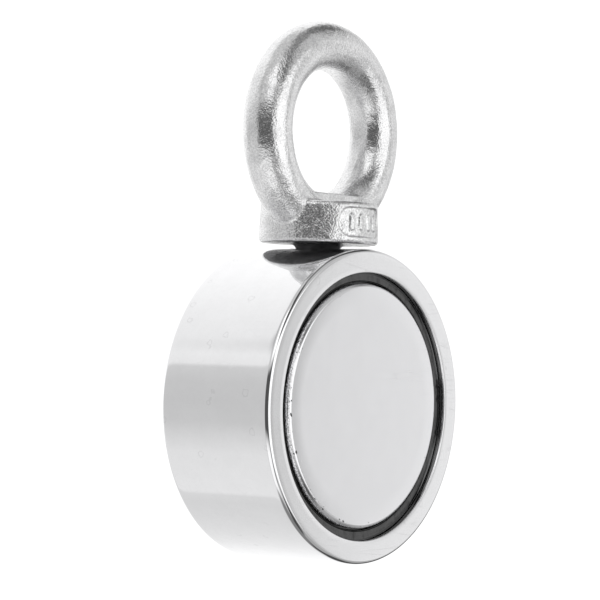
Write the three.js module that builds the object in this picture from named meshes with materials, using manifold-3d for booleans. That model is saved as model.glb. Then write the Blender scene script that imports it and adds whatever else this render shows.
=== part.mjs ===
// A two-faced fishing magnet: a turned steel pot with a magnet disc sealed into each face,
// and a forged eye bolt screwed into its rim. Millimetres, +Z up.
// The origin is the inner top of the eye, where the rope pulls.
// The pot's axis is Y, and its front face looks to -Y.
import * as THREE from 'three';
import { mergeVertices } from 'three/addons/utils/BufferGeometryUtils.js';
import Module from 'manifold-3d';

const wasm = await Module();
wasm.setup();

// ---- Driving dimensions ----

// Steel pot: a wall round each pocket, and a web between them that is thick enough to take the thread
const POT_DIAMETER = 50;
const POT_WALL = 3.7;
const POT_EDGE_RADIUS = 0.8;
const POCKET_MOUTH_CHAMFER = 0.2;
const WEB_BESIDE_THREAD = 1.35;

// Magnet discs, with the front one a little off the middle of its pocket
const DISC_THICKNESS = 5;
const DISC_EDGE_RADIUS = 0.45;
const FRONT_DISC_SHIFT_X = -0.5;
const FRONT_DISC_SHIFT_Z = 0.1;

// What holds the discs
const RESIN_WIDTH = 1.9;
const FILM_THICKNESS = 0.3;
const RESIN_BELOW_FACE = 0.95;

// Eye bolt
const EYE_HOLE_DIAMETER = 19.9;
const EYE_SECTION_DIAMETER = 7.85;
const COLLAR_DIAMETER = 19.4;
const COLLAR_DRAFT = 0.2;
const COLLAR_HEIGHT = 6.5;
const COLLAR_EDGE_RADIUS = 0.7;
const NECK_RELIEF = 0.55;
const NECK_LENGTH = 2;
const NECK_FILLET = 1.15;
const THREAD_DIAMETER = 8;
const SHANK_LENGTH = 13;
const SHANK_TIP_CHAMFER = 0.8;

// Fits
const GLUE_LINE = 0.05;
const THREAD_CLEARANCE = 0.1;
const COLLAR_TO_RIM = 0.95;
const HOLE_PAST_TIP = 2.5;
const HOLE_MOUTH_CHAMFER = 0.6;

// Facets round a full circle
const POT_FACETS = 96;
const DISC_FACETS = 80;
const EYE_FACETS = 56;
const SECTION_FACETS = 20;
const COLLAR_FACETS = 56;
const SHANK_FACETS = 40;
const CORNER_STEPS = 3;

// ---- Places worked out from them ----

const potRadius = POT_DIAMETER / 2;
const pocketRadius = potRadius - POT_WALL;
const discRadius = pocketRadius - RESIN_WIDTH;
const webHalf = THREAD_DIAMETER / 2 + WEB_BESIDE_THREAD;
const pocketDepth = DISC_THICKNESS + FILM_THICKNESS + 2 * GLUE_LINE;
const potHalf = webHalf + pocketDepth;

const sectionRadius = EYE_SECTION_DIAMETER / 2;
const eyeMeanRadius = EYE_HOLE_DIAMETER / 2 + sectionRadius;
const eyeCentreZ = -EYE_HOLE_DIAMETER / 2;
// As on a standard lifting eye bolt, the collar ends level with the lowest point of the full ring.
const undersideZ = eyeCentreZ - eyeMeanRadius - sectionRadius;
const potCentreZ = undersideZ - COLLAR_TO_RIM - potRadius;
const tipZ = undersideZ - SHANK_LENGTH;

// ---- Shape helpers ----

// Points of an arc about (x, y), from one angle to another in degrees, both ends included.
function arc(x, y, radius, fromDegrees, toDegrees, steps) {
  const points = [];
  for (let i = 0; i <= steps; i++) {
    const angle = THREE.MathUtils.degToRad(fromDegrees + ((toDegrees - fromDegrees) * i) / steps);
    points.push(new THREE.Vector2(x + radius * Math.cos(angle), y + radius * Math.sin(angle)));
  }
  return points;
}

// A profile of (radius, height) points turned about +Y, listed from the bottom up.
function turnedAboutY(profile, facets) {
  return new THREE.LatheGeometry(profile, facets);
}

// The same, turned about +Z.
function turnedAboutZ(profile, facets) {
  return turnedAboutY(profile, facets).rotateX(Math.PI / 2);
}

// A closed geometry as a solid that can be joined and cut.
function solidOf(geometry) {
  const bare = geometry.clone();
  bare.deleteAttribute('normal');
  bare.deleteAttribute('uv');
  const merged = mergeVertices(bare);
  return new wasm.Manifold(
    new wasm.Mesh({
      numProp: 3,
      vertProperties: merged.attributes.position.array,
      triVerts: new Uint32Array(merged.index.array),
    }),
  );
}

// A solid back as a geometry, with flat-shaded normals.
function geometryOf(solid) {
  const mesh = solid.getMesh();
  const geometry = new THREE.BufferGeometry();
  geometry.setAttribute('position', new THREE.BufferAttribute(new Float32Array(mesh.vertProperties), 3));
  geometry.setIndex(new THREE.BufferAttribute(new Uint32Array(mesh.triVerts), 1));
  const flat = geometry.toNonIndexed();
  flat.computeVertexNormals();
  return flat;
}

// ---- Pieces in the pot's own frame: centre at the origin, axis Y ----

// The pot is one H-shaped turning: a web with a round pocket on each side,
// drilled from the rim for the eye bolt.
function potBodyGeometry() {
  const r = POT_EDGE_RADIUS;
  const c = POCKET_MOUTH_CHAMFER;
  const profile = [
    new THREE.Vector2(0, -webHalf),
    new THREE.Vector2(pocketRadius, -webHalf),
    new THREE.Vector2(pocketRadius, -potHalf + c),
    new THREE.Vector2(pocketRadius + c, -potHalf),
    ...arc(potRadius - r, -potHalf + r, r, -90, 0, CORNER_STEPS),
    ...arc(potRadius - r, potHalf - r, r, 0, 90, CORNER_STEPS),
    new THREE.Vector2(pocketRadius + c, potHalf),
    new THREE.Vector2(pocketRadius, potHalf - c),
    new THREE.Vector2(pocketRadius, webHalf),
    new THREE.Vector2(0, webHalf),
  ];
  return geometryOf(solidOf(turnedAboutY(profile, POT_FACETS)).subtract(solidOf(eyeHoleGeometry())));
}

// What the drill and countersink take out of the rim:
// a blind hole with a cone at its end and a chamfered mouth.
function eyeHoleGeometry() {
  const holeRadius = THREAD_DIAMETER / 2;
  const bottom = tipZ - potCentreZ - HOLE_PAST_TIP;
  const aboveRim = potRadius + 1;
  const mouthRadius = holeRadius + HOLE_MOUTH_CHAMFER;
  const profile = [
    new THREE.Vector2(0, bottom - holeRadius / 2),
    new THREE.Vector2(holeRadius, bottom),
    new THREE.Vector2(holeRadius, potRadius - HOLE_MOUTH_CHAMFER),
    new THREE.Vector2(mouthRadius, potRadius),
    new THREE.Vector2(mouthRadius, aboveRim),
    new THREE.Vector2(0, aboveRim),
  ];
  return turnedAboutZ(profile, SHANK_FACETS);
}

// A magnet disc with rounded edges, its outer face flush with the pot's.
function magnetDiscGeometry() {
  const r = DISC_EDGE_RADIUS;
  const inner = potHalf - DISC_THICKNESS;
  const profile = [
    new THREE.Vector2(0, inner),
    ...arc(discRadius - r, inner + r, r, -90, 0, CORNER_STEPS),
    ...arc(discRadius - r, potHalf - r, r, 0, 90, CORNER_STEPS),
    new THREE.Vector2(0, potHalf),
  ];
  return turnedAboutY(profile, DISC_FACETS);
}

// The glue between the web and the disc's inner face.
function adhesiveFilmGeometry() {
  const low = webHalf + GLUE_LINE;
  const radius = discRadius - DISC_EDGE_RADIUS;
  const profile = [
    new THREE.Vector2(0, low),
    new THREE.Vector2(radius, low),
    new THREE.Vector2(radius, low + FILM_THICKNESS),
    new THREE.Vector2(0, low + FILM_THICKNESS),
  ];
  return turnedAboutY(profile, DISC_FACETS);
}

// The resin poured round the disc: the pocket's plug with the disc's place cut out of it.
function resinRingGeometry(shiftX, shiftZ) {
  const low = webHalf + GLUE_LINE;
  const high = potHalf - RESIN_BELOW_FACE;
  const plug = turnedAboutY(
    [
      new THREE.Vector2(0, low),
      new THREE.Vector2(pocketRadius - GLUE_LINE, low),
      new THREE.Vector2(pocketRadius - GLUE_LINE, high),
      new THREE.Vector2(0, high),
    ],
    POT_FACETS,
  );
  const core = turnedAboutY(
    [
      new THREE.Vector2(0, low - 1),
      new THREE.Vector2(discRadius + GLUE_LINE, low - 1),
      new THREE.Vector2(discRadius + GLUE_LINE, high + 1),
      new THREE.Vector2(0, high + 1),
    ],
    DISC_FACETS,
  );
  core.translate(shiftX, 0, shiftZ);
  return geometryOf(solidOf(plug).subtract(solidOf(core)));
}

// ---- The eye bolt, in the part's frame ----

// The eye is a round bar bent in the plane of the pot's faces.
function eyeGeometry() {
  const section = arc(eyeMeanRadius, 0, sectionRadius, -180, 180, SECTION_FACETS);
  section[section.length - 1].copy(section[0]);
  return turnedAboutY(section, EYE_FACETS).translate(0, 0, eyeCentreZ);
}

// The collar, the relieved neck and the shank, as one turning about Z. The shank stands for the thread.
function collarAndShankGeometry() {
  const shankRadius = THREAD_DIAMETER / 2 - THREAD_CLEARANCE;
  const neckRadius = THREAD_DIAMETER / 2 - NECK_RELIEF;
  const collarRadius = COLLAR_DIAMETER / 2;
  const r = COLLAR_EDGE_RADIUS;
  const collarTopZ = undersideZ + COLLAR_HEIGHT;
  const neckEndZ = undersideZ - NECK_LENGTH;
  const shoulder = shankRadius - neckRadius;
  const profile = [
    new THREE.Vector2(0, tipZ),
    new THREE.Vector2(shankRadius - SHANK_TIP_CHAMFER, tipZ),
    new THREE.Vector2(shankRadius, tipZ + SHANK_TIP_CHAMFER),
    new THREE.Vector2(shankRadius, neckEndZ - shoulder),
    new THREE.Vector2(neckRadius, neckEndZ),
    ...arc(neckRadius + NECK_FILLET, undersideZ - NECK_FILLET, NECK_FILLET, 180, 90, CORNER_STEPS),
    ...arc(collarRadius - r, undersideZ + r, r, -90, 0, CORNER_STEPS),
    ...arc(collarRadius - r - COLLAR_DRAFT, collarTopZ - r, r, 0, 90, CORNER_STEPS),
    new THREE.Vector2(0, collarTopZ),
  ];
  return turnedAboutZ(profile, COLLAR_FACETS);
}

function eyeBoltGeometry() {
  return geometryOf(solidOf(eyeGeometry()).add(solidOf(collarAndShankGeometry())));
}

// ---- Assembly ----

const NICKEL = { color: 0xc9cacc, roughness: 0.12, metalness: 1 };
const MAGNET_PLATING = { color: 0xcdced0, roughness: 0.2, metalness: 1 };
const ZINC_FORGING = { color: 0xb9babb, roughness: 0.35, metalness: 1 };
const BLACK_RESIN = { color: 0x0c0c0d, roughness: 0.15, metalness: 0 };
const CLEAR_GLUE = { color: 0x8c8a80, roughness: 0.4, metalness: 0 };

function piece(name, geometry, finish) {
  const mesh = new THREE.Mesh(geometry, new THREE.MeshStandardMaterial(finish));
  mesh.name = name;
  return mesh;
}

// One side of the pot: the resin ring, the glue film and the disc. side is 'front' or 'rear'.
function faceSet(side, shiftX, shiftZ) {
  const set = new THREE.Group();
  const film = piece('adhesive_film_' + side, adhesiveFilmGeometry(), CLEAR_GLUE);
  const disc = piece('magnet_disc_' + side, magnetDiscGeometry(), MAGNET_PLATING);
  film.position.set(shiftX, 0, shiftZ);
  disc.position.set(shiftX, 0, shiftZ);
  set.add(film, disc, piece('resin_ring_' + side, resinRingGeometry(shiftX, shiftZ), BLACK_RESIN));
  return set;
}

const potAssembly = new THREE.Group();
potAssembly.position.z = potCentreZ;
potAssembly.add(piece('pot_body', potBodyGeometry(), NICKEL));

// The front set is made looking to +Y like the rear one, then turned half a turn about Z to look to -Y.
const frontSet = faceSet('front', -FRONT_DISC_SHIFT_X, FRONT_DISC_SHIFT_Z);
frontSet.rotation.z = Math.PI;
const rearSet = faceSet('rear', 0, 0);
potAssembly.add(frontSet, rearSet);

const fishingMagnet = new THREE.Group();
fishingMagnet.add(potAssembly, piece('eye_bolt', eyeBoltGeometry(), ZINC_FORGING));

export default fishingMagnet;
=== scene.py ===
"""The looks of a two-faced fishing magnet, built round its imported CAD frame.

Every size that a user would change is a property of the scene. Sizes and places come from the frame.
Everything is in metres, +Z up, with the pot's axis along Y and its front face looking to -Y.
"""

import math

import bmesh
import bpy
from bpy.props import FloatProperty, FloatVectorProperty, IntProperty, PointerProperty
from mathutils import Matrix, Vector


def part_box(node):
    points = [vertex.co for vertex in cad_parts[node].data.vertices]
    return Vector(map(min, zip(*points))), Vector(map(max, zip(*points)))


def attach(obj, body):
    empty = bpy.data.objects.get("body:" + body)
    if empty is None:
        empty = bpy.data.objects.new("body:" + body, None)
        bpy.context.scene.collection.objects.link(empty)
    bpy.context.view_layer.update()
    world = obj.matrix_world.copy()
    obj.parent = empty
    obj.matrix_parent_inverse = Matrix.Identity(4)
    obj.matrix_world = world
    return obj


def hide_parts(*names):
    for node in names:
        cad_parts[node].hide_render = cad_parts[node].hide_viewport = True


bl_info = {
    "name": "Fishing Magnet Looks",
    "version": (1, 0, 0),
    "blender": (4, 5, 0),
    "location": "3D View > Sidebar > Magnet",
    "description": "Builds the finished surfaces of a fishing magnet round its CAD frame",
    "category": "Object",
}

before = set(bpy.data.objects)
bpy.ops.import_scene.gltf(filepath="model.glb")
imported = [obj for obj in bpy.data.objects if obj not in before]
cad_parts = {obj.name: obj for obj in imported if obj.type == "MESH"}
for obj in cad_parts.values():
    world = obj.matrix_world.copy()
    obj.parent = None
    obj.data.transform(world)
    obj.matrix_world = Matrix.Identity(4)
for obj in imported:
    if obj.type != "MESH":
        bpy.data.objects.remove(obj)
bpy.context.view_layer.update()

MM = 0.001
EYE_BODY = "eye_bolt"
POT_BODY = "magnet_pot"

# ---- Places read from the frame ----

pot_low, pot_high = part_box("pot_body")
POT_RADIUS = (pot_high.x - pot_low.x) / 2
POT_HALF = (pot_high.y - pot_low.y) / 2
POT_CENTRE = Vector((0, 0, (pot_low.z + pot_high.z) / 2))

bolt_low, bolt_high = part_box("eye_bolt")
SECTION_RADIUS = bolt_high.z / 2
EYE_OUTER_RADIUS = bolt_high.x
EYE_MEAN_RADIUS = EYE_OUTER_RADIUS - SECTION_RADIUS
EYE_CENTRE_Z = bolt_high.z - EYE_OUTER_RADIUS
UNDERSIDE_Z = EYE_CENTRE_Z - EYE_OUTER_RADIUS
COLLAR_RADIUS = bolt_high.y
TIP_Z = bolt_low.z

# ---- Sizes that the frame doesn't give ----

HOLE_CLEARANCE = 0.1 * MM
HOLE_MOUTH = 0.6 * MM
HOLE_PAST_TIP = 2.5 * MM
DRILL_OVERRUN = 1 * MM

# The forging's details in millimetres: the collar's panel and its bars, and the flat foot of the ring.
PANEL_HALF_LENGTH = 3.2
PANEL_ROUNDING = 2.35
BAR_PLACES = (-3.0, -1.0, 1.0, 3.0)
BAR_HALF_HEIGHT = 0.85
BAR_HALF_WIDTH = 0.45
FOOT_HALF_LENGTH = 6.6
FOOT_HALF_DEPTH = 3.3
FOOT_ABOVE_UNDERSIDE = 7.95
# Each: width and depth of the dies' streaks and of the dents that the scale leaves.
STREAKS = (1.5, 0.16)
WIDE_DENTS = (5.0, 0.12)
SMALL_DENTS = (1.2, 0.05)

# The smears' cluster, as an angle round the disc; how much thinner they lie elsewhere; the edge's fall.
SMEAR_ANGLE = 4.1
SMEAR_THIN = 0.25
EDGE_FALL = 0.31

SIDES = {"front": -1, "rear": 1}

# ---- The studio's soft boxes and black flags ----

# Each: azimuth range (from -Y towards +X) and elevation range in degrees, soft edge's width, brightness.
# A later one lies over those before it.
PANELS = (
    ((-112, 104), (-80, 84), 22, 0.60),
    ((-200, -96), (60, 100), 18, 0.56),
    ((116, 200), (62, 100), 18, 0.56),
    ((-34, 112), (60, 100), 16, 0.21),
    ((-200, 200), (-100, -60), 16, 0.22),
    ((12, 80), (-62, -27), 12, 0.40),
    ((-10, 64), (34, 62), 12, 0.50),
    ((-136, -108), (32, 62), 12, 0.44),
    ((66, 118), (-5, 28), 9, 0.80),
    ((115, 131), (-34, 30), 10, 1.06),
    ((-76, -28), (27, 60), 9, 1.22),
    ((-102, -34), (-56, -25), 9, 1.06),
    ((-22, 34), (-24, 26), 8, 1.22),
    ((35, 50.5), (-22, 22), 6, 0.49),
    ((50.5, 68), (-22, 22), 6, 0.89),
    ((-99, -21), (-19, 21), 8, 0.085),
    ((64, 113), (35, 68), 10, 0.07),
    ((84, 113), (-58, -9), 8, 0.05),
    ((56, 104), (-74, -42), 10, 0.07),
    ((-29, 6), (29, 70), 7, 0.07),
    ((-30, -14), (-40, -18), 7, 0.18),
    ((-8, 22), (-68, -32), 8, 0.07),
)

# The tent's wall, as degrees round the pot's axis from -X up over the top, each with its brightness.
TENT_WALL = (
    (-180, 1.10), (-144, 1.00), (-128, 0.88), (-112, 0.79), (-92, 0.73), (-80, 0.71), (-73, 0.73),
    (-71, 0.84), (-54, 0.82), (-38, 0.79), (-24, 0.69), (-15, 0.61), (0, 0.59), (14, 0.60),
    (26, 0.65), (28, 0.85), (36, 0.89), (44, 0.87), (60, 0.90), (90, 0.99), (112, 1.06),
    (140, 1.08), (180, 1.10),
)
# What the camera sees behind the object.
PLAIN_WHITE = 1.1
LAMP_WIDTH = 1.2
LAMP_HEIGHT = 1.1
FLOOR_RADIUS = 3.0

# ---- Sizes and colours that a user would change ----


def length(name, description, millimetres):
    """A length property, given in millimetres and stored in metres."""
    return FloatProperty(
        name=name, description=description, default=millimetres * MM,
        min=0, unit="LENGTH", subtype="DISTANCE", precision=5,
    )


def step(name, description, millimetres):
    """A length property that can be negative."""
    return FloatProperty(
        name=name, description=description, default=millimetres * MM, unit="LENGTH", precision=5
    )


def share(name, description, value):
    """A property from 0 to 1."""
    return FloatProperty(name=name, description=description, default=value, min=0, max=1, subtype="FACTOR")


def colour(name, description, value):
    """A linear colour property."""
    return FloatVectorProperty(
        name=name, description=description, default=value, min=0, max=1, size=3, subtype="COLOR"
    )


def turn(name, description, degrees):
    """An angle property, given in degrees."""
    return FloatProperty(name=name, description=description, default=math.radians(degrees), subtype="ANGLE")


class PotLook(bpy.types.PropertyGroup):
    """The steel pot."""

    edge_radius: length("Edge radius", "Rounding of the rim's outer edges", 0.8)
    face_fall: length("Face fall", "How far each face ring falls away towards the rim", 0.05)
    mouth_radius: length("Mouth radius", "Rounding of each pocket's mouth", 0.22)
    facets: IntProperty(name="Facets", description="Faces round the pot", default=384, min=24)
    nickel: colour("Nickel", "Colour of the bright nickel plate", (0.93, 0.93, 0.94))
    rim_roughness: share("Rim roughness", "Roughness of the mirror-like rim", 0.05)
    face_roughness: share("Face roughness", "Roughness of the ring round each pocket", 0.16)


class DiscLook(bpy.types.PropertyGroup):
    """The magnet discs."""

    edge_radius: length("Edge radius", "Rounding of the disc's edges", 0.8)
    facets: IntProperty(name="Facets", description="Faces round a disc", default=288, min=24)
    plating: colour("Plating", "Colour of the disc's plate", (0.92, 0.92, 0.935))
    roughness: share("Roughness", "Roughness of the disc's plate", 0.2)
    smear_count: IntProperty(name="Smears", description="Specks of resin on an edge", default=80, min=0)
    smear_size: length("Smear size", "Width of the largest speck", 0.46)


class ResinLook(bpy.types.PropertyGroup):
    """The poured resin and the glue."""

    meniscus: length("Meniscus", "How far the resin swells beside its edges", 0.06)
    gap_width: length("Gap width", "Width of the shrinkage gap at each wall", 0.15)
    gap_depth: length("Gap depth", "Depth of the shrinkage gap at each wall", 0.34)
    roll_width: length("Roll width", "Width of the low roll beside the disc", 0.22)
    facets: IntProperty(name="Facets", description="Faces round a resin ring", default=288, min=24)
    black: colour("Resin", "Colour of the cured resin", (0.004, 0.004, 0.0045))
    roughness: share("Roughness", "Roughness of the cured resin", 0.12)
    glue: colour("Glue", "Colour of the cured glue", (0.5, 0.48, 0.42))


class EyeBoltLook(bpy.types.PropertyGroup):
    """The forged eye bolt."""

    collar_height: length("Collar height", "Height of the collar's side", 6.65)
    collar_set: length("Collar set", "How far the collar's foot stands below the ring's lowest point", 0.18)
    collar_inset: length("Collar inset", "How much less than the stock the plated collar's radius is", 0.12)
    collar_draft: length("Collar draft", "How much narrower the collar is at its top", 0.2)
    collar_edge: length("Collar edge", "Rounding of the collar's edges", 0.7)
    forging_blend: length("Forging blend", "Reach of the blend between the ring and the collar", 0.9)
    neck_radius: length("Neck radius", "Radius of the relieved neck", 3.45)
    neck_length: length("Neck length", "Length of the relieved neck", 2.0)
    neck_blend: length("Neck blend", "Reach of the blend between the neck and the collar", 2.2)
    voxel: length("Voxel", "Size of the grid that the forging is formed on", 0.2)
    panel_depth: length("Panel depth", "Depth of the recessed panel on the collar", 0.28)
    thread_radius: length("Thread radius", "Crest radius of the thread", 3.9)
    thread_root: length("Thread root", "Root radius of the thread", 3.24)
    thread_pitch: length("Thread pitch", "Pitch of the right-hand thread", 1.25)
    zinc: colour("Zinc", "Colour of the zinc plate", (0.86, 0.86, 0.872))
    bloom: share("Bloom", "How much of the zinc is under a thin white bloom", 0.07)
    # Painted shade: how much of the zinc's brightness the neck and the shank keep under the collar.
    painted_shank_shade: share("Shank tone", "How much of the zinc's brightness the neck and the shank keep", 0.2)
    roughness: share("Roughness", "Roughness of the zinc plate", 0.14)
    grain: length("Grain", "Size of the forging's surface grain", 0.34)


class StudioLook(bpy.types.PropertyGroup):
    """The camera, the light and the floor."""

    azimuth: turn("Azimuth", "Camera's turn about Z from looking along +Y", -51.95)
    elevation: turn("Elevation", "Camera's tilt above the horizon", -1.28)
    roll: turn("Roll", "Camera's turn about its own line of sight", 1.884)
    distance: length("Distance", "From the pot's centre to the camera's plane", 518.5)
    aside: step("Aside", "Camera's step to its right", -2.063)
    above: step("Above", "Camera's step upwards", 16.778)
    lens: FloatProperty(name="Lens", description="Focal length on a 36 mm sensor", default=193.95)
    floor_drop: length("Floor drop", "From the pot's lowest point down to the floor", 260)
    floor_tone: share("Floor tone", "How pale the floor is", 0.86)
    lamp_power: FloatProperty(name="Lamp power", description="Watts of the overhead soft lamp", default=14)
    world_strength: FloatProperty(name="Tent", description="Brightness of the light tent", default=1.0)


# ---- Node trees written as formulas ----


def feed(tree, entry, value):
    """Gives a node's input a value, a socket or a Field."""
    if isinstance(value, Field):
        tree.links.new(value.socket, entry)
    elif isinstance(value, bpy.types.NodeSocket):
        tree.links.new(value, entry)
    else:
        entry.default_value = value


def operation(name):
    """A method of Field that does one math operation."""

    def method(self, *others):
        return self.math(name, *others)

    return method


class Field:
    """A number in a node tree, so that a shape or a pattern reads as a formula."""

    def __init__(self, tree, socket):
        self.tree = tree
        self.socket = socket

    def math(self, operation, *others):
        node = self.tree.nodes.new("ShaderNodeMath")
        node.operation = operation
        for entry, value in zip(node.inputs, (self, *others)):
            feed(self.tree, entry, value)
        return Field(self.tree, node.outputs[0])

    __add__ = __radd__ = operation("ADD")
    __sub__ = operation("SUBTRACT")
    __mul__ = __rmul__ = operation("MULTIPLY")
    __truediv__ = operation("DIVIDE")
    root = operation("SQRT")
    size = operation("ABSOLUTE")
    least = operation("MINIMUM")
    most = operation("MAXIMUM")
    blended_least = operation("SMOOTH_MIN")
    blended_most = operation("SMOOTH_MAX")
    sine = operation("SINE")
    cosine = operation("COSINE")
    # 1 where this is greater than the other, and 0 elsewhere.
    over = operation("GREATER_THAN")

    def __rsub__(self, other):
        return -self + other

    def __neg__(self):
        return self * -1.0

    def square(self):
        return self * self

    def ease(self, low, high):
        """Smoothly from 0 at low to 1 at high; the other way round where low is the greater."""
        node = self.tree.nodes.new("ShaderNodeMapRange")
        node.interpolation_type = "SMOOTHSTEP"
        turned_round = low > high
        feed(self.tree, node.inputs["Value"], self)
        node.inputs["From Min"].default_value = high if turned_round else low
        node.inputs["From Max"].default_value = low if turned_round else high
        node.inputs["To Min"].default_value = 1.0 if turned_round else 0.0
        node.inputs["To Max"].default_value = 0.0 if turned_round else 1.0
        return Field(self.tree, node.outputs["Result"])


def wire(node, **inputs):
    """Gives a node's inputs their values by name, with _ for each space."""
    for name, value in inputs.items():
        feed(node.id_data, node.inputs[name.replace("_", " ")], value)


def add_node(tree, kind, settings=None, **inputs):
    """A new node with its settings and its inputs."""
    node = tree.nodes.new(kind)
    for name, value in (settings or {}).items():
        setattr(node, name, value)
    wire(node, **inputs)
    return node


def split(tree, vector):
    """The three numbers of a vector."""
    node = add_node(tree, "ShaderNodeSeparateXYZ", Vector=vector)
    return [Field(tree, output) for output in node.outputs]


def joined(tree, x, y, z):
    """A vector of three numbers."""
    return add_node(tree, "ShaderNodeCombineXYZ", X=x, Y=y, Z=z).outputs[0]


# ---- Geometry node trees ----


def shape_tree(name, **inputs):
    """An empty geometry node tree with a material and other named inputs, listed by their kind. Returns the
    tree and its inputs by name, with each number as a Field."""
    tree = bpy.data.node_groups.new(name, "GeometryNodeTree")
    kinds = {"Geometry": ["Geometry"], **inputs, "Material": ["Material"]}
    for kind, labels in kinds.items():
        for label in labels:
            tree.interface.new_socket(label, in_out="INPUT", socket_type="NodeSocket" + kind)
    tree.interface.new_socket("Geometry", in_out="OUTPUT", socket_type="NodeSocketGeometry")
    entry = tree.nodes.new("NodeGroupInput")
    given = {output.name: output for output in entry.outputs if output.name}
    for label in [*inputs.get("Int", []), *inputs.get("Float", [])]:
        given[label] = Field(tree, given[label])
    return tree, given


def close_tree(tree, geometry, material):
    """Ends a geometry node tree: instances made real, and the material set."""
    real = add_node(tree, "GeometryNodeRealizeInstances", Geometry=geometry)
    finished = add_node(tree, "GeometryNodeSetMaterial", Geometry=real.outputs[0], Material=material)
    leave = tree.nodes.new("NodeGroupOutput")
    tree.links.new(finished.outputs[0], leave.inputs[0])


def grid_to_roll(tree, facets, rows):
    """A flat grid to be rolled up. Returns it with each point's row and angle round the axis."""
    size = {"Size_X": 1.0, "Size_Y": 1.0}
    grid = add_node(tree, "GeometryNodeMeshGrid", Vertices_X=facets + 1.0, Vertices_Y=rows, **size)
    index = Field(tree, add_node(tree, "GeometryNodeInputIndex").outputs[0])
    row = index.math("MODULO", rows)
    return grid.outputs["Mesh"], row, (index - row) / rows / facets * math.tau


def close_rolled(tree, mesh, position, material):
    """Ends a tree whose grid is rolled up: every point put in its place, and the seam welded."""
    placed = add_node(tree, "GeometryNodeSetPosition", Geometry=mesh, Position=position)
    welded = add_node(tree, "GeometryNodeMergeByDistance", Geometry=placed.outputs[0], Distance=1e-6)
    close_tree(tree, welded.outputs[0], material)


def turned_tree():
    """Turns a profile about Y. The profile is a row of points whose X runs from 0 to 1 between an inner
    and an outer circle, and whose Z is the height along Y. The inner circle can be off the middle."""
    lengths = ["Inner Radius", "Outer Radius", "Inner Shift X", "Inner Shift Z", "Centre Z"]
    tree, given = shape_tree("Turned piece", Int=["Facets"], Float=lengths)
    profile = given["Geometry"]
    rows = add_node(tree, "GeometryNodeAttributeDomainSize", Geometry=profile).outputs["Point Count"]
    grid, row, angle = grid_to_roll(tree, given["Facets"], Field(tree, rows))
    sampled = add_node(
        tree,
        "GeometryNodeSampleIndex",
        {"data_type": "FLOAT_VECTOR"},
        Geometry=profile,
        Value=add_node(tree, "GeometryNodeInputPosition").outputs[0],
        Index=row,
    )
    part, _, height = split(tree, sampled.outputs[0])
    place = []
    for way, shift in ((angle.cosine(), "Inner Shift X"), (angle.sine(), "Inner Shift Z")):
        inner = way * given["Inner Radius"] + given[shift]
        outer = way * given["Outer Radius"]
        place.append(inner + (outer - inner) * part)
    position = joined(tree, place[0], height, place[1] + given["Centre Z"])
    close_rolled(tree, grid, position, given["Material"])


def thread_tree():
    """A right-hand thread about Z between two heights, closed at both ends and chamfered at its tip."""
    lengths = ["Crest Radius", "Root Radius", "Pitch", "Top Z", "Tip Z"]
    tree, given = shape_tree("Threaded shank", Int=["Facets", "Rows"], Float=lengths)
    grid, row, angle = grid_to_roll(tree, given["Facets"], given["Rows"])
    # The first and last rows close the ends, so the side runs from row 1 to the last but one.
    along = ((row - 1.0) / (given["Rows"] - 3.0)).most(0.0).least(1.0)
    height = given["Top Z"] + (given["Tip Z"] - given["Top Z"]) * along
    phase = (height / given["Pitch"] - angle / math.tau).math("FRACT")
    tooth = ((phase * 2.0 - 1.0).size() * 1.35 - 0.15).most(0.0).least(1.0)
    depth = given["Crest Radius"] - given["Root Radius"]
    from_tip = (height - given["Tip Z"]) / given["Pitch"]
    from_top = (given["Top Z"] - height) / given["Pitch"]
    run_out = (from_tip + 0.1).least(from_top * 0.8 + 0.2).least(1.0).most(0.0)
    radius = given["Root Radius"] + depth * tooth * run_out
    on_side = row.over(0.5) * (given["Rows"] - 1.5).over(row)
    reach = radius * on_side
    position = joined(tree, angle.cosine() * reach, angle.sine() * reach, height)
    close_rolled(tree, grid, position, given["Material"])


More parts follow.
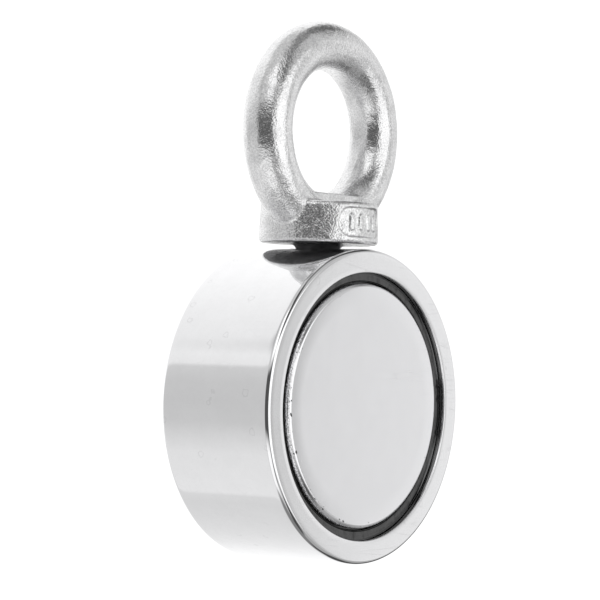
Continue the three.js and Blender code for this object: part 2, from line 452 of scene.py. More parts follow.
def forging_tree(look):
    """The eye bolt's forging: a ring, a collar and a neck melted together, with a recessed panel on the
    collar's front. The rule is the distance to the surface in millimetres, negative inside."""
    tree, given = shape_tree("Eye bolt forging", Float=["Forging Blend", "Neck Blend"])
    low = Vector((-EYE_OUTER_RADIUS, -COLLAR_RADIUS, UNDERSIDE_Z - look.neck_length - 0.6 * MM))
    high = Vector((EYE_OUTER_RADIUS, COLLAR_RADIUS, bolt_high.z))
    margin = Vector((0.8, 0.8, 0.8)) * MM
    low, high = low - margin, high + margin
    position = add_node(tree, "GeometryNodeInputPosition").outputs[0]
    x, y, z = (axis / MM for axis in split(tree, position))

    ring_reach = (x.square() + (z - EYE_CENTRE_Z / MM).square()).root() - EYE_MEAN_RADIUS / MM
    ring = (ring_reach.square() + y.square()).root() - SECTION_RADIUS / MM

    rho = (x.square() + y.square()).root()
    up = z - (UNDERSIDE_Z - look.collar_set) / MM
    collar_side = (COLLAR_RADIUS - look.collar_inset) / MM - up * (look.collar_draft / look.collar_height)
    collar_half = look.collar_height / MM / 2
    edge = look.collar_edge / MM
    past_side = rho - collar_side + edge
    past_end = (up - collar_half).size() - (collar_half - edge)
    outside = (past_side.most(0.0).square() + past_end.most(0.0).square()).root()
    collar = outside + past_side.most(past_end).least(0.0) - edge

    # A round-ended panel is sunk into the collar's front, with a row of plain upright bars standing in it.
    arc_length = x.math("ARCTAN2", -y) * (COLLAR_RADIUS / MM)
    panel_z = up - collar_half - 0.1
    past_bars = (arc_length.size() - PANEL_HALF_LENGTH).most(0.0)
    outline = (past_bars.square() + panel_z.square()).root() - PANEL_ROUNDING
    floor_depth = collar_side - look.panel_depth / MM - rho
    panel = outline.blended_most(floor_depth, 0.2)
    bars = None
    for middle in BAR_PLACES:
        up_bar = (panel_z.size() - BAR_HALF_HEIGHT).most(0.0)
        bar = ((arc_length - middle).square() + up_bar.square()).root() - BAR_HALF_WIDTH
        bars = bar if bars is None else bars.least(bar)
    bars = bars.most(rho - collar_side + 0.04)
    in_front = y + 1.0
    collar = collar.blended_most(-panel.most(in_front), 0.2).least(bars.most(-up).most(in_front))

    # The foot of the ring is flattened between its limbs, where the dies met the collar.
    foot_side = (x.size() - FOOT_HALF_LENGTH).most(y.size() - FOOT_HALF_DEPTH).most(-up)
    foot = foot_side.blended_most(z - (UNDERSIDE_Z / MM + FOOT_ABOVE_UNDERSIDE), 0.5)
    body = ring.blended_least(collar, given["Forging Blend"]).blended_least(foot, 0.3)
    neck = (rho - look.neck_radius / MM).most(-up - (look.neck_length / MM + 0.25)).most(up - 1.0)
    body = body.blended_least(neck, given["Neck Blend"])

    # The dies leave long shallow streaks round the ring, and the scale leaves small dents all over.
    along = x.math("ARCTAN2", z - EYE_CENTRE_Z / MM) * 2.2
    streaks = joined(tree, ring_reach, y, along)
    everywhere = joined(tree, x, y, z)
    for where, (wide, deep) in ((streaks, STREAKS), (everywhere, WIDE_DENTS), (everywhere, SMALL_DENTS)):
        body = body + (noise(tree, where, wide, 1.0, 0.4) - 0.5) * deep

    steps = [max(2, round((b - a) / look.voxel)) for a, b in zip(low, high)]
    cube = add_node(
        tree,
        "GeometryNodeVolumeCube",
        Density=1.0 - body * 0.25,
        Background=0.0,
        Min=low,
        Max=high,
        Resolution_X=steps[0],
        Resolution_Y=steps[1],
        Resolution_Z=steps[2],
    )
    skin = add_node(tree, "GeometryNodeVolumeToMesh", Volume=cube.outputs[0], Threshold=1.0, Adaptivity=0.0)
    close_tree(tree, skin.outputs[0], given["Material"])


def smear_tree():
    """Small flat specks of resin scattered along a round edge."""
    tree, given = shape_tree(
        "Resin smears", Int=["Count", "Seed"], Float=["Size", "Radius", "Spread"], Vector=["Centre"]
    )
    seed = given["Seed"]

    def chance(low, high, step):
        node = add_node(tree, "FunctionNodeRandomValue", {"data_type": "FLOAT"}, Seed=seed + float(step))
        # The float version's range is the second pair of inputs, and its result the second output.
        node.inputs[2].default_value = low
        node.inputs[3].default_value = high
        return Field(tree, node.outputs[1])

    points = add_node(tree, "GeometryNodePoints", Count=given["Count"])
    angle = chance(0.0, math.tau, 1)
    drift = chance(-0.2, 1.0, 2)
    radius = given["Radius"] + drift * given["Spread"]
    centre = split(tree, given["Centre"])
    # The face is level inside the edge's rounding, and falls away along it.
    fall = drift.most(0.0).square() * given["Spread"] * centre[1].math("SIGN") * -EDGE_FALL
    place = joined(
        tree, centre[0] + angle.cosine() * radius, centre[1] + fall, centre[2] + angle.sine() * radius
    )
    set_place = add_node(tree, "GeometryNodeSetPosition", Geometry=points.outputs[0], Position=place)
    speck = add_node(tree, "GeometryNodeMeshIcoSphere", Radius=0.5, Subdivisions=2)
    # Most of the resin has run over the lower left of the edge.
    thick = (angle - SMEAR_ANGLE).cosine().most(0.0) * (1 - SMEAR_THIN) + SMEAR_THIN
    size = chance(0.3, 1.0, 3).square() * given["Size"] * thick
    scale = joined(tree, size * chance(0.7, 2.2, 4), size * 0.16, size)
    spin = joined(tree, 0.0, chance(-0.5, 0.5, 5) - angle - math.pi / 2, 0.0)
    specks = add_node(
        tree,
        "GeometryNodeInstanceOnPoints",
        Points=set_place.outputs[0],
        Instance=speck.outputs["Mesh"],
        Rotation=spin,
        Scale=scale,
    )
    close_tree(tree, specks.outputs[0], given["Material"])


# ---- Meshes ----


def grown(name, tree, values, points=()):
    """A plain mesh object made by a geometry node tree on a row of points, with no modifier left on it."""
    start = bpy.data.meshes.new(name)
    start.from_pydata([(p[0], 0, p[1]) for p in points], [], [])
    piece = bpy.data.objects.new(name, start)
    bpy.context.scene.collection.objects.link(piece)
    modifier = piece.modifiers.new("Build", "NODES")
    modifier.node_group = tree
    identifiers = {item.name: item.identifier for item in tree.interface.items_tree}
    for label, value in values.items():
        modifier[identifiers[label]] = value
    bake(piece)
    return piece


def bake(piece):
    """Makes what a piece's modifiers give into its own mesh."""
    bpy.context.view_layer.update()
    seen = piece.evaluated_get(bpy.context.evaluated_depsgraph_get())
    mesh = bpy.data.meshes.new_from_object(seen)
    piece.modifiers.clear()
    piece.data = mesh
    mesh.name = piece.name


def sealed(piece, sharp_degrees=40.0):
    """Merges doubles, points faces outwards and shades smooth, with sharp edges past an angle."""
    shape = bmesh.new()
    shape.from_mesh(piece.data)
    bmesh.ops.remove_doubles(shape, verts=shape.verts, dist=1e-7)
    bmesh.ops.dissolve_degenerate(shape, edges=shape.edges, dist=1e-8)
    bmesh.ops.recalc_face_normals(shape, faces=shape.faces)
    if shape.calc_volume(signed=True) < 0:
        bmesh.ops.reverse_faces(shape, faces=shape.faces)
    open_edges = [edge for edge in shape.edges if len(edge.link_faces) != 2]
    shape.to_mesh(piece.data)
    shape.free()
    if open_edges:
        raise RuntimeError(f"{piece.name} isn't closed: {len(open_edges)} loose edges")
    piece.data.shade_smooth()
    piece.data.set_sharp_from_angle(angle=math.radians(sharp_degrees))
    return piece


def cut(piece, cutter):
    """Takes one closed piece out of another and removes the cutter."""
    modifier = piece.modifiers.new("Cut", "BOOLEAN")
    modifier.operation = "DIFFERENCE"
    modifier.solver = "EXACT"
    modifier.object = cutter
    bake(piece)
    bpy.data.objects.remove(cutter)


def arc(x, y, radius, start, end, steps):
    """Points of an arc from one angle to another in degrees, both ends included."""
    angles = (math.radians(start + (end - start) * i / steps) for i in range(steps + 1))
    return [(x + radius * math.cos(a), y + radius * math.sin(a)) for a in angles]


def line(start, end, steps):
    """Points along a straight stretch, both ends included."""
    return [
        (start[0] + (end[0] - start[0]) * i / steps, start[1] + (end[1] - start[1]) * i / steps)
        for i in range(steps + 1)
    ]


def turned(name, points, facets, material, centre=POT_CENTRE, inner=0.0, outer=1.0, shift=(0.0, 0.0)):
    """A turned piece about the pot's axis, or about one through centre."""
    values = {
        "Facets": facets,
        "Inner Radius": inner,
        "Outer Radius": outer,
        "Inner Shift X": shift[0],
        "Inner Shift Z": shift[1],
        "Centre Z": centre.z,
        "Material": material,
    }
    return grown(name, bpy.data.node_groups["Turned piece"], values, points)


def finish_piece(piece, body, slot, *nodes):
    """Hangs a finished piece on its body, in place of its CAD nodes."""
    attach(piece, body)
    if nodes:
        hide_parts(*nodes)


# ---- Materials ----


def metal(name, tint, metallic, roughness):
    """A new material. Returns it with its tree and its shader."""
    material = bpy.data.materials.new(name)
    material.use_nodes = True
    tree = material.node_tree
    shader = tree.nodes["Principled BSDF"]
    shader.inputs["Base Color"].default_value = (*tint, 1.0)
    shader.inputs["Metallic"].default_value = metallic
    shader.inputs["Roughness"].default_value = roughness
    return material, tree, shader


def own_place(tree, centre=(0, 0, 0)):
    """The point on the piece in millimetres, from a centre given in metres."""
    coordinates = add_node(tree, "ShaderNodeTexCoord").outputs["Object"]
    moved = add_node(
        tree,
        "ShaderNodeMapping",
        Vector=coordinates,
        Location=tuple(-c / MM for c in centre),
        Scale=(1 / MM,) * 3,
    )
    return moved.outputs[0]


def stretched(tree, place, x=1.0, y=1.0, z=1.0):
    """A place with its axes scaled, so that a pattern on it is drawn out along some of them."""
    return add_node(tree, "ShaderNodeMapping", Vector=place, Scale=(x, y, z)).outputs[0]


def noise(tree, place, size, detail=2.0, roughness=0.5):
    """Noise from 0 to 1 whose blots are about size millimetres wide."""
    node = add_node(
        tree, "ShaderNodeTexNoise", Vector=place, Scale=1 / size, Detail=detail, Roughness=roughness
    )
    return Field(tree, node.outputs["Fac"])


def cells(tree, place, size, feature="F1"):
    """Distance to the nearest of scattered points about size millimetres apart."""
    node = add_node(tree, "ShaderNodeTexVoronoi", {"feature": feature}, Vector=place, Scale=1 / size)
    return Field(tree, node.outputs["Distance"])


def scratches(tree, place, size, turn_degrees, thickness=0.03, amount=0.45):
    """Fine straight scratches in one direction, broken into short lengths."""
    turned_place = add_node(
        tree,
        "ShaderNodeMapping",
        Vector=place,
        Rotation=tuple(math.radians(a) for a in turn_degrees),
        Scale=(0.05, 1.0, 1.0),
    ).outputs[0]
    lines = cells(tree, turned_place, size, "DISTANCE_TO_EDGE").ease(thickness, 0.0)
    broken = noise(tree, place, size * 6, 1.0).ease(1.0 - amount, 1.06 - amount)
    return lines * broken


def bump(tree, height, distance_mm, strength=1.0, below=None):
    """A bump of a height pattern, with its depth in millimetres, on top of another bump."""
    node = add_node(tree, "ShaderNodeBump", Strength=strength, Distance=distance_mm * MM, Height=height)
    if below is not None:
        feed(tree, node.inputs["Normal"], below)
    return node.outputs["Normal"]


def tinted(tree, factor, dark, light):
    """A colour between two, by a factor. Either can be another colour's socket."""
    node = add_node(tree, "ShaderNodeMix", {"data_type": "RGBA", "clamp_factor": False}, Factor=factor)
    for entry, value in ((node.inputs[6], dark), (node.inputs[7], light)):
        feed(tree, entry, value if isinstance(value, bpy.types.NodeSocket) else (*value, 1.0))
    return node.outputs[2]


def scaled_colour(colour_value, factor):
    """A colour made darker or lighter."""
    return tuple(min(1.0, c * factor) for c in colour_value)


def nickel_rim_material(look):
    """Bright nickel on turned steel: a mirror-like rim, a faintly matt face ring and a few dried spots."""
    material, tree, shader = metal("bright_nickel", look.nickel, 1.0, look.rim_roughness)
    place = own_place(tree, POT_CENTRE)
    y = split(tree, place)[1]
    on_face = y.size().ease(POT_HALF / MM - 0.25, POT_HALF / MM - 0.02)
    mottle = noise(tree, place, 3.2, 4.0, 0.62)
    fine = noise(tree, place, 0.25, 3.0, 0.6)
    axial = noise(tree, stretched(tree, place, 1.0, 0.16, 1.0), 1.1, 2.0)
    hair = scratches(tree, place, 1.6, (10, 35, 20)) + scratches(tree, place, 2.3, (80, -20, 65))
    # A dried drop leaves a thin ring.
    from_drop = cells(tree, place, 4.2) + (noise(tree, place, 0.7, 2.0) - 0.5) * 0.2
    drop = from_drop.ease(0.09, 0.12) * from_drop.ease(0.16, 0.125)
    drop = drop * noise(tree, place, 8.0, 1.0).ease(0.42, 0.5)
    roughness = on_face * (look.face_roughness - look.rim_roughness) + look.rim_roughness
    roughness = roughness + (mottle - 0.5) * 0.05 + hair * 0.12
    wire(shader, Roughness=roughness.most(0.02))
    speckle = (1.0 - fine.ease(0.35, 0.65)) * on_face
    cloudy = mottle.ease(0.3, 0.7) * 0.5 + axial * 0.3 + noise(tree, place, 0.7, 3.0) * 0.6
    tone = cloudy.least(1.2) - drop * 1.8 - speckle * 0.8
    wire(shader, Base_Color=tinted(tree, tone.most(-1.8), scaled_colour(look.nickel, 0.955), look.nickel))
    waves = bump(tree, noise(tree, place, 9.0, 1.0) + axial * 0.02, 0.012)
    peel = bump(tree, mottle, 0.0016, 1.0, waves)
    wire(shader, Normal=bump(tree, fine * (on_face * 0.8 + 0.2) - hair * 0.5, 0.0009, 1.0, peel))
    return material


def disc_material(look):
    """Nickel plate on a sintered disc: even and faintly matt, with small pits and handling marks."""
    material, tree, shader = metal("disc_nickel", look.plating, 1.0, look.roughness)
    place = own_place(tree, POT_CENTRE)
    cloud = noise(tree, place, 5.5, 4.0, 0.6)
    fine = noise(tree, place, 0.22, 3.0, 0.65)
    pits = cells(tree, place, 1.4).ease(0.07, 0.03) * noise(tree, place, 6.0, 1.0).ease(0.5, 0.62)
    hair = scratches(tree, place, 2.2, (0, 25, 0), 0.02, 0.4)
    hair = hair + scratches(tree, place, 3.1, (0, -50, 0), 0.02, 0.4)
    roughness = look.roughness + (cloud - 0.5) * 0.08 + hair * 0.05 + pits * 0.2
    tone = cloud.ease(0.25, 0.75) * (1.0 - pits * 0.5)
    base = tinted(tree, tone, scaled_colour(look.plating, 0.96), look.plating)
    # Black resin wets the disc's side, with a ragged top edge.
    y = split(tree, place)[1]
    depth = POT_HALF / MM - y.size()
    ragged = noise(tree, place, 0.5, 3.0, 0.7)
    wetted = (depth + (ragged - 0.5) * 0.8).ease(0.72, 0.86)
    tumbled = depth.ease(0.16, 0.4)
    wire(shader, Metallic=1.0 - wetted, Roughness=roughness + wetted * 0.1)
    wire(shader, Base_Color=tinted(tree, wetted, base, (0.02, 0.02, 0.02)))
    slow = bump(tree, cloud, 0.006)
    knocks = noise(tree, place, 0.3, 2.0, 0.6)
    worn = bump(tree, knocks * tumbled, 0.09, 1.0, slow)
    marks = fine * (tumbled * 7.0 + 1.0) - pits - hair * 0.2
    wire(shader, Normal=bump(tree, marks, 0.0012, 1.0, worn))
    return material


def resin_material(look):
    """Glossy black poured resin with a few dust specks and soft ripples."""
    material, tree, shader = metal("poured_resin", look.black, 0.0, look.roughness)
    shader.inputs["IOR"].default_value = 1.5
    shader.inputs["Specular IOR Level"].default_value = 0.9
    place = own_place(tree, POT_CENTRE)
    ripple = noise(tree, place, 2.2, 2.0)
    dust = cells(tree, place, 0.55).ease(0.12, 0.05) * noise(tree, place, 2.5, 1.0).ease(0.52, 0.6)
    wire(shader, Roughness=look.roughness + (ripple - 0.5) * 0.1 + dust * 0.5)
    wire(shader, Base_Color=tinted(tree, dust, look.black, (0.16, 0.16, 0.16)))
    wire(shader, Normal=bump(tree, ripple + dust * 0.1, 0.09))
    return material


def glue_material(look):
    """Cured glue, clouded with small bubbles."""
    material, tree, shader = metal("cured_glue", look.glue, 0.0, 0.35)
    place = own_place(tree, POT_CENTRE)
    bubbles = cells(tree, place, 0.8).ease(0.3, 0.1)
    wire(shader, Base_Color=tinted(tree, bubbles, look.glue, scaled_colour(look.glue, 0.6)))
    wire(shader, Normal=bump(tree, bubbles, 0.05))
    return material


def zinc_material(look):
    """Zinc plate over a blasted forging: a fine sparkling grain, soft dents, rubs and a few dark pits, with
    painted shade under the collar.
    """
    material, tree, shader = metal("zinc_plate", look.zinc, 1.0 - look.bloom, look.roughness)
    grain_mm = look.grain / MM
    place = own_place(tree, (0, 0, EYE_CENTRE_Z))
    coarse = noise(tree, place, grain_mm, 3.0, 0.55)
    fine = noise(tree, place, grain_mm * 0.42, 2.0, 0.6)
    patch = noise(tree, place, 4.0, 3.0, 0.6)
    pits = cells(tree, place, 1.1).ease(0.1, 0.04) * noise(tree, place, 4.5, 1.0).ease(0.5, 0.6)
    hair = scratches(tree, place, 1.9, (20, 60, 0), 0.02, 0.36)
    hair = hair + scratches(tree, place, 2.6, (70, -10, 40), 0.02, 0.36)
    dimples = cells(tree, place, grain_mm * 0.8)
    worn = patch.ease(0.5, 0.72)
    roughness = look.roughness + (coarse - 0.5) * 0.12 - worn * 0.05 + pits * 0.25
    wire(shader, Roughness=roughness.most(0.06))
    sparkle = coarse.ease(0.36, 0.62) * 0.4 + fine.ease(0.35, 0.65) * 0.3 + dimples.ease(0.2, 0.6) * 0.3
    shade = (patch.ease(0.2, 0.7) * 0.35 + sparkle * 0.65) * (1.0 - pits * 0.8)
    base = tinted(tree, shade.least(1.0), scaled_colour(look.zinc, 0.64), scaled_colour(look.zinc, 1.16))
    # Painted shade under the collar: the collar's underside, the neck and the shank are made darker and
    # less metallic.
    foot_z = (UNDERSIDE_Z - look.collar_set - EYE_CENTRE_Z) / MM
    height = split(tree, place)[2]
    below = height.ease(foot_z + 0.14, foot_z + 0.04)
    painted_shade_colour = tinted(tree, below, base, scaled_colour(look.zinc, look.painted_shank_shade))
    wire(shader, Base_Color=painted_shade_colour, Metallic=(1.0 - below * 0.75) * (1.0 - look.bloom))
    soft = bump(tree, patch + noise(tree, place, 1.5, 1.0) * 0.4, 0.14)
    # The collar is as blasted, and the ring is rubbed smoother.
    collar_top = foot_z + look.collar_height / MM
    blasted = height.ease(collar_top + 2.2, collar_top + 1.0) * 0.5 + 0.5
    rough = bump(tree, (coarse + dimples * 0.5) * blasted, 0.075, 1.0, soft)
    marks = fine * 0.8 - pits * 1.5 - hair * 0.4
    wire(shader, Normal=bump(tree, marks, 0.02, 1.0, rough))
    return material


def floor_material(look):
    """Matt pale floor."""
    material, tree, shader = metal("pale_floor", (look.floor_tone,) * 3, 0.0, 0.7)
    shader.inputs["Specular IOR Level"].default_value = 0.2
    place = own_place(tree)
    cloud = noise(tree, place, 300.0, 2.0)
    tone = look.floor_tone
    wire(shader, Base_Color=tinted(tree, cloud, (tone * 0.985,) * 3, (tone,) * 3))
    return material


# ---- Pieces ----


class MAGNET_OT_shape_rules(bpy.types.Operator):
    """Make the node trees that turned pieces, the thread, the forging and the smears are grown by"""

    bl_idname = "magnet.shape_rules"
    bl_label = "Shape rules"

    def execute(self, context):
        turned_tree()
        thread_tree()
        forging_tree(context.scene.magnet_eye_bolt)
        smear_tree()
        return {"FINISHED"}


class MAGNET_OT_pot(bpy.types.Operator):
    """Turn the steel pot and drill its rim for the eye bolt"""

    bl_idname = "magnet.pot"
    bl_label = "Pot"

    def execute(self, context):
        look = context.scene.magnet_pot
        edge = look.edge_radius
        mouth = look.mouth_radius
        shoulder = POT_HALF - look.face_fall - edge
        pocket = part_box("resin_ring_rear")[1].x
        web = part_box("adhesive_film_rear")[0].y
        side = [
            *line((0, web), (pocket, web), 6),
            *line((pocket, web + 0.2 * MM), (pocket, POT_HALF - mouth), 6)[:-1],
            *arc(pocket + mouth, POT_HALF - mouth, mouth, 180, 90, 5),
            *line((pocket + mouth, POT_HALF), (POT_RADIUS - edge, shoulder + edge), 4)[1:-1],
            *arc(POT_RADIUS - edge, shoulder, edge, 90, 0, 10),
        ]
        rim = line((POT_RADIUS, shoulder), (POT_RADIUS, -shoulder), 24)[1:-1]
        mirrored = [(r, -h) for r, h in reversed(side)]
        nickel = nickel_rim_material(look)
        pot = turned("pot_shell", side + rim + mirrored, look.facets, nickel)
        sealed(pot)
        cut(pot, self.eye_hole(context))
        sealed(pot, 35.0)
        # The drilled wall takes the plate too.
        pot.data.materials.clear()
        pot.data.materials.append(nickel)
        finish_piece(pot, POT_BODY, "nickel_plated_steel", "pot_body")
        return {"FINISHED"}

    def eye_hole(self, context):
        """What the drill and the countersink take out of the rim."""
        bolt = context.scene.magnet_eye_bolt
        radius = bolt.thread_radius + HOLE_CLEARANCE
        mouth = radius + HOLE_MOUTH
        bottom = TIP_Z - HOLE_PAST_TIP
        rim = POT_CENTRE.z + POT_RADIUS
        top = rim + DRILL_OVERRUN
        side = [(radius, bottom), (radius, rim - HOLE_MOUTH), (mouth, rim), (mouth, top)]
        points = [(0, bottom - radius / 2), *side, (0, top)]
        drill = turned("drill", points, 96, None, centre=Vector())
        # The tree turns about Y, and the drill goes down Z.
        drill.data.transform(Matrix.Rotation(math.radians(90), 4, "X"))
        return sealed(drill)


class MAGNET_OT_discs(bpy.types.Operator):
    """Turn the two magnet discs"""

    bl_idname = "magnet.discs"
    bl_label = "Magnet discs"

    def execute(self, context):
        look = context.scene.magnet_discs
        plate = disc_material(look)
        for side in SIDES:
            node = "magnet_disc_" + side
            low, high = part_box(node)
            radius = (high.x - low.x) / 2
            centre = (low + high) / 2
            half = (high.y - low.y) / 2
            edge = look.edge_radius
            points = [
                (0, -half),
                *line((radius * 0.3, -half), (radius - edge, -half), 5)[:-1],
                *arc(radius - edge, edge - half, edge, -90, 0, 8),
                *line((radius, edge - half), (radius, half - edge), 6)[1:-1],
                *arc(radius - edge, half - edge, edge, 0, 90, 8),
                *line((radius - edge, half), (radius * 0.3, half), 5)[1:],
                (0, half),
            ]
            disc = turned("disc_" + side, points, look.facets, plate, centre=centre)
            disc.data.transform(Matrix.Translation((centre.x, centre.y, 0)))
            finish_piece(sealed(disc), POT_BODY, "magnet_plating", node)
        return {"FINISHED"}


class MAGNET_OT_resin(bpy.types.Operator):
    """Pour the resin ring round each disc, shrunk back at both walls, and give the glue its finish"""

    bl_idname = "magnet.resin"
    bl_label = "Resin rings"

    def execute(self, context):
        look = context.scene.magnet_resin
        black = resin_material(look)
        glue = glue_material(look)
        for side, way in SIDES.items():
            disc_low, disc_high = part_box("magnet_disc_" + side)
            low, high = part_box("resin_ring_" + side)
            disc_centre = (disc_low + disc_high) / 2 - POT_CENTRE
            inner = (disc_high.x - disc_low.x) / 2 + 0.01 * MM
            outer = (high.x - low.x) / 2 + 0.03 * MM
            level = max(abs(low.y), abs(high.y))
            bottom = min(abs(low.y), abs(high.y))
            points = [(0, bottom), (1, bottom), *self.surface(look, level, outer - inner)]
            points = [(part, way * height) for part, height in points]
            points.append(points[0])
            shift = (disc_centre.x, disc_centre.z)
            ring = turned("resin_" + side, points, look.facets, black, POT_CENTRE, inner, outer, shift)
            finish_piece(sealed(ring), POT_BODY, "black_resin", "resin_ring_" + side)
            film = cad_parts["adhesive_film_" + side]
            film.data.materials.clear()
            film.data.materials.append(glue)
        return {"FINISHED"}

    def surface(self, look, level, width):
        """The resin's surface from the pot's wall in, shrunk back at both walls, and rolled by the disc"""
        roll = look.roll_width
        gap = look.gap_width
        deep = -look.gap_depth
        stops = [
            (width, deep),
            (width - gap * 0.6, deep),
            (width - gap, 0.0),
            (width - gap * 1.8, look.meniscus),
            (width - gap * 4.0, look.meniscus * 0.3),
            (width * 0.5, 0.0),
            (roll + gap * 2.6, look.meniscus * 0.25),
            (roll + gap * 1.9, 0.0),
            (roll + gap * 1.5, deep * 0.6),
            (roll + gap * 1.1, 0.0),
            (gap * 1.4 + roll * 0.5, look.meniscus * 0.5),
            (gap * 1.4, deep * 0.3),
            (gap, deep),
            (0.0, deep),
        ]
        return [(reach / width, level + height) for reach, height in stops]


class MAGNET_OT_smears(bpy.types.Operator):
    """Scatter specks of resin along each disc's edge"""

    bl_idname = "magnet.smears"
    bl_label = "Resin smears"

    def execute(self, context):
        look = context.scene.magnet_discs
        black = bpy.data.materials["poured_resin"]
        for side, way in SIDES.items():
            low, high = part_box("magnet_disc_" + side)
            centre = (low + high) / 2
            centre.y = way * POT_HALF
            values = {
                "Count": look.smear_count,
                "Size": look.smear_size,
                "Radius": (high.x - low.x) / 2 - look.edge_radius,
                "Spread": look.edge_radius * 0.62,
                "Centre": centre,
                "Seed": 5 if side == "front" else 11,
                "Material": black,
            }
            smears = grown("smears_" + side, bpy.data.node_groups["Resin smears"], values, [(0, 0)])
            smears.data.shade_smooth()
            finish_piece(smears, POT_BODY, "black_resin")
        return {"FINISHED"}


class MAGNET_OT_eye_bolt(bpy.types.Operator):
    """Forge the eye bolt and cut its thread"""

    bl_idname = "magnet.eye_bolt"
    bl_label = "Eye bolt"

    def execute(self, context):
        look = context.scene.magnet_eye_bolt
        zinc = zinc_material(look)
        blends = {"Forging Blend": look.forging_blend / MM, "Neck Blend": look.neck_blend / MM}
        values = {**blends, "Material": zinc}
        forging = grown("eye_bolt_forging", bpy.data.node_groups["Eye bolt forging"], values, [(0, 0)])
        finish_piece(sealed(forging, 60.0), EYE_BODY, "zinc_forging", "eye_bolt")
        values = {
            "Facets": 96,
            "Rows": 150,
            "Crest Radius": look.thread_radius,
            "Root Radius": look.thread_root,
            "Pitch": look.thread_pitch,
            "Top Z": UNDERSIDE_Z - look.neck_length - 0.1 * MM,
            "Tip Z": TIP_Z,
            "Material": zinc,
        }
        shank = grown("eye_bolt_thread", bpy.data.node_groups["Threaded shank"], values, [(0, 0)])
        finish_piece(sealed(shank, 50.0), EYE_BODY, "zinc_forging", "eye_bolt")
        return {"FINISHED"}


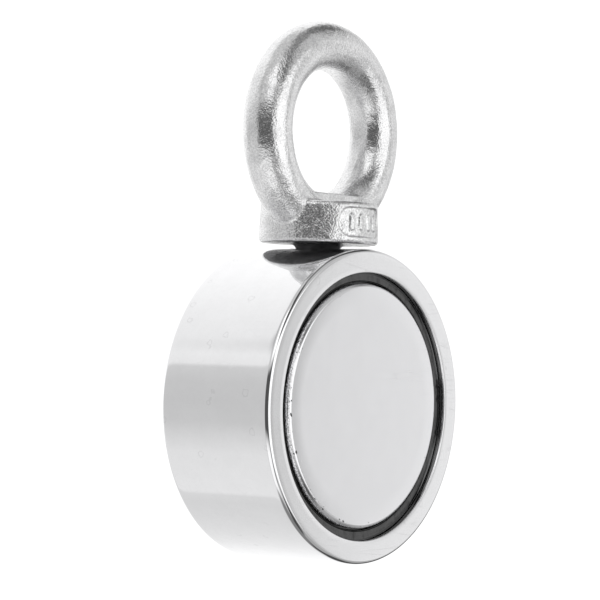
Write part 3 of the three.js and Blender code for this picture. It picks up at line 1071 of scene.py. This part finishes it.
class MAGNET_OT_studio(bpy.types.Operator):
    """Set up the camera, the light tent and the floor"""

    bl_idname = "magnet.studio"
    bl_label = "Studio"

    def execute(self, context):
        look = context.scene.magnet_studio
        self.camera(context, look)
        self.floor(look)
        self.lamp(context, look)
        self.light_tent(context, look)
        context.scene.view_settings.view_transform = "Standard"
        return {"FINISHED"}

    def camera(self, context, look):
        """The camera looks at the pot's centre from its azimuth and elevation, then steps aside."""
        a, e, roll = look.azimuth, look.elevation, look.roll
        back = Vector((math.sin(a) * math.cos(e), -math.cos(a) * math.cos(e), math.sin(e)))
        level = Vector((math.cos(a), math.sin(a), 0))
        upright = back.cross(level)
        right = level * math.cos(roll) + upright * math.sin(roll)
        up = upright * math.cos(roll) - level * math.sin(roll)
        place = POT_CENTRE + back * look.distance + right * look.aside + up * look.above
        lens = bpy.data.cameras.new("camera")
        lens.lens = look.lens
        lens.sensor_width = 36
        lens.clip_start = 0.05
        lens.clip_end = 50
        camera = bpy.data.objects.new("camera", lens)
        turned_to = Matrix((right, up, back)).transposed().to_4x4()
        camera.matrix_world = Matrix.Translation(place) @ turned_to
        context.scene.collection.objects.link(camera)
        context.scene.camera = camera

    def floor(self, look):
        """A wide round floor well below the hanging magnet."""
        mesh = bpy.data.meshes.new("floor")
        shape = bmesh.new()
        bmesh.ops.create_circle(shape, cap_ends=True, segments=96, radius=FLOOR_RADIUS)
        shape.to_mesh(mesh)
        shape.free()
        mesh.materials.append(floor_material(look))
        floor = bpy.data.objects.new("floor", mesh)
        floor.location.z = pot_low.z - look.floor_drop
        bpy.context.scene.collection.objects.link(floor)
        # The metal mirrors the light tent's lower half, which the floor would otherwise hide from it.
        floor.visible_glossy = False

    def lamp(self, context, look):
        """A wide soft lamp overhead, for the floor and the dull parts. The metal mirrors only the tent."""
        panel = bpy.data.lights.new("soft_lamp", "AREA")
        panel.shape = "DISK"
        panel.size = LAMP_WIDTH
        panel.energy = look.lamp_power
        lamp = bpy.data.objects.new("soft_lamp", panel)
        lamp.location = (0, 0, LAMP_HEIGHT)
        lamp.visible_glossy = False
        lamp.visible_camera = False
        context.scene.collection.objects.link(lamp)

    def light_tent(self, context, look):
        """Soft light from all round: a wall of changing tone, with soft boxes and black flags on it."""
        world = bpy.data.worlds.new("light_tent")
        context.scene.world = world
        world.use_nodes = True
        tree = world.node_tree
        direction = add_node(tree, "ShaderNodeTexCoord").outputs["Generated"]
        x, y, z = split(tree, direction)
        round_axis = z.math("ARCTAN2", -x) / math.tau + 0.5
        ramp = tree.nodes.new("ShaderNodeValToRGB")
        feed(tree, ramp.inputs[0], round_axis)
        elements = ramp.color_ramp.elements
        while len(elements) > 1:
            elements.remove(elements[-1])
        for number, (degrees, tone) in enumerate(TENT_WALL):
            where = degrees / 360 + 0.5
            element = elements[0] if number == 0 else elements.new(where)
            element.position = where
            element.color = (tone, tone, tone, 1.0)
        tone = Field(tree, ramp.outputs[0])

        azimuth = x.math("ARCTAN2", -y) * (180 / math.pi)
        elevation = z.most(-1.0).least(1.0).math("ARCSINE") * (180 / math.pi)
        for (left, right), (bottom, top), soft, level in PANELS:
            half = soft / 2
            across = azimuth.ease(left - half, left + half) * azimuth.ease(right + half, right - half)
            upright = elevation.ease(bottom - half, bottom + half) * elevation.ease(top + half, top - half)
            tone = tone + (level - tone) * (across * upright)
        # Behind the object the camera sees plain white, and not the black flags.
        direct = Field(tree, add_node(tree, "ShaderNodeLightPath").outputs["Is Camera Ray"])
        tone = tone + (PLAIN_WHITE - tone) * direct
        background = tree.nodes["Background"]
        feed(tree, background.inputs["Color"], joined(tree, tone, tone, tone))
        background.inputs["Strength"].default_value = look.world_strength


class MAGNET_PT_build(bpy.types.Panel):
    """Lists the builders in the sidebar"""

    bl_idname = "MAGNET_PT_build"
    bl_label = "Fishing magnet"
    bl_space_type = "VIEW_3D"
    bl_region_type = "UI"
    bl_category = "Magnet"

    def draw(self, context):
        column = self.layout.column(align=True)
        for operator in OPERATORS:
            column.operator(operator.bl_idname)


LOOKS = {
    "magnet_pot": PotLook,
    "magnet_discs": DiscLook,
    "magnet_resin": ResinLook,
    "magnet_eye_bolt": EyeBoltLook,
    "magnet_studio": StudioLook,
}
OPERATORS = (
    MAGNET_OT_shape_rules,
    MAGNET_OT_pot,
    MAGNET_OT_discs,
    MAGNET_OT_resin,
    MAGNET_OT_smears,
    MAGNET_OT_eye_bolt,
    MAGNET_OT_studio,
)


def register():
    for name, look in LOOKS.items():
        bpy.utils.register_class(look)
        setattr(bpy.types.Scene, name, PointerProperty(type=look))
    for operator in OPERATORS:
        bpy.utils.register_class(operator)
    bpy.utils.register_class(MAGNET_PT_build)


def unregister():
    bpy.utils.unregister_class(MAGNET_PT_build)
    for operator in reversed(OPERATORS):
        bpy.utils.unregister_class(operator)
    for name, look in LOOKS.items():
        delattr(bpy.types.Scene, name)
        bpy.utils.unregister_class(look)


def main():
    register()
    for operator in OPERATORS:
        group, name = operator.bl_idname.split(".")
        getattr(getattr(bpy.ops, group), name)()


if __name__ == "__main__":
    main()
